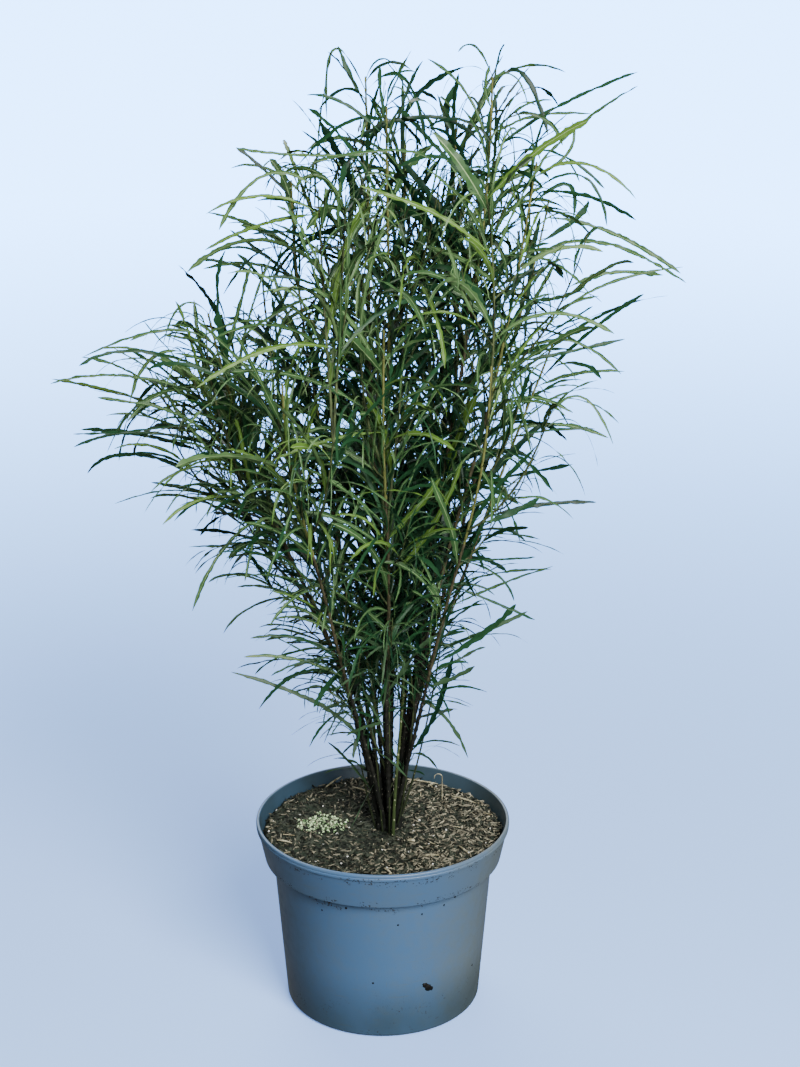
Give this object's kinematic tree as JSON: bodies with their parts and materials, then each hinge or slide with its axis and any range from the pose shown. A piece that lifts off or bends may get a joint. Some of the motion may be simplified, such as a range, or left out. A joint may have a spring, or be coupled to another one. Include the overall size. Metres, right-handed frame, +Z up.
{
  "type": "potted columnar buckthorn",
  "caption": "Upright shrub with many slender stems and long, narrow, arching leaves, growing in a round, tapered nursery pot filled with compost.",
  "frame": {"origin": "centre of the pot's flat underside, on the pot's axis", "axes": "+Z up along the pot's axis, -Y towards the front of the plant, -X towards its wide left lobe"},
  "size_m": [0.531, 0.4835, 0.8418],
  "materials": {
    "pot_plastic": "blue-grey, semi-matt, slightly dusty",
    "compost": "dark, crumbly, matt",
    "bark": "brown young bark with pale pores",
    "foliage": "green leaves with a soft sheen"
  },
  "bodies": {
    "root": {"pot": "pot_plastic", "soil": "compost", "stem_top_left": "bark", "stem_top_front": "bark", "stem_top_right": "bark", "stem_top_back": "bark", "stem_right": "bark", "stem_right_back": "bark", "stem_left": "bark", "stem_left_upper": "bark", "stem_left_back": "bark", "stem_front": "bark", "stem_back": "bark", "stem_right_low": "bark", "stem_left_low": "bark", "stem_back_left": "bark", "stem_back_right": "bark", "stem_front_right": "bark", "stem_front_left": "bark", "foliage_top_left": "foliage", "foliage_top_front": "foliage", "foliage_top_right": "foliage", "foliage_top_back": "foliage", "foliage_right": "foliage", "foliage_right_back": "foliage", "foliage_left": "foliage", "foliage_left_upper": "foliage", "foliage_left_back": "foliage", "foliage_front": "foliage", "foliage_back": "foliage", "foliage_right_low": "foliage", "foliage_left_low": "foliage", "foliage_back_left": "foliage", "foliage_back_right": "foliage", "foliage_front_right": "foliage", "foliage_front_left": "foliage"}
  },
  "joints": []
}
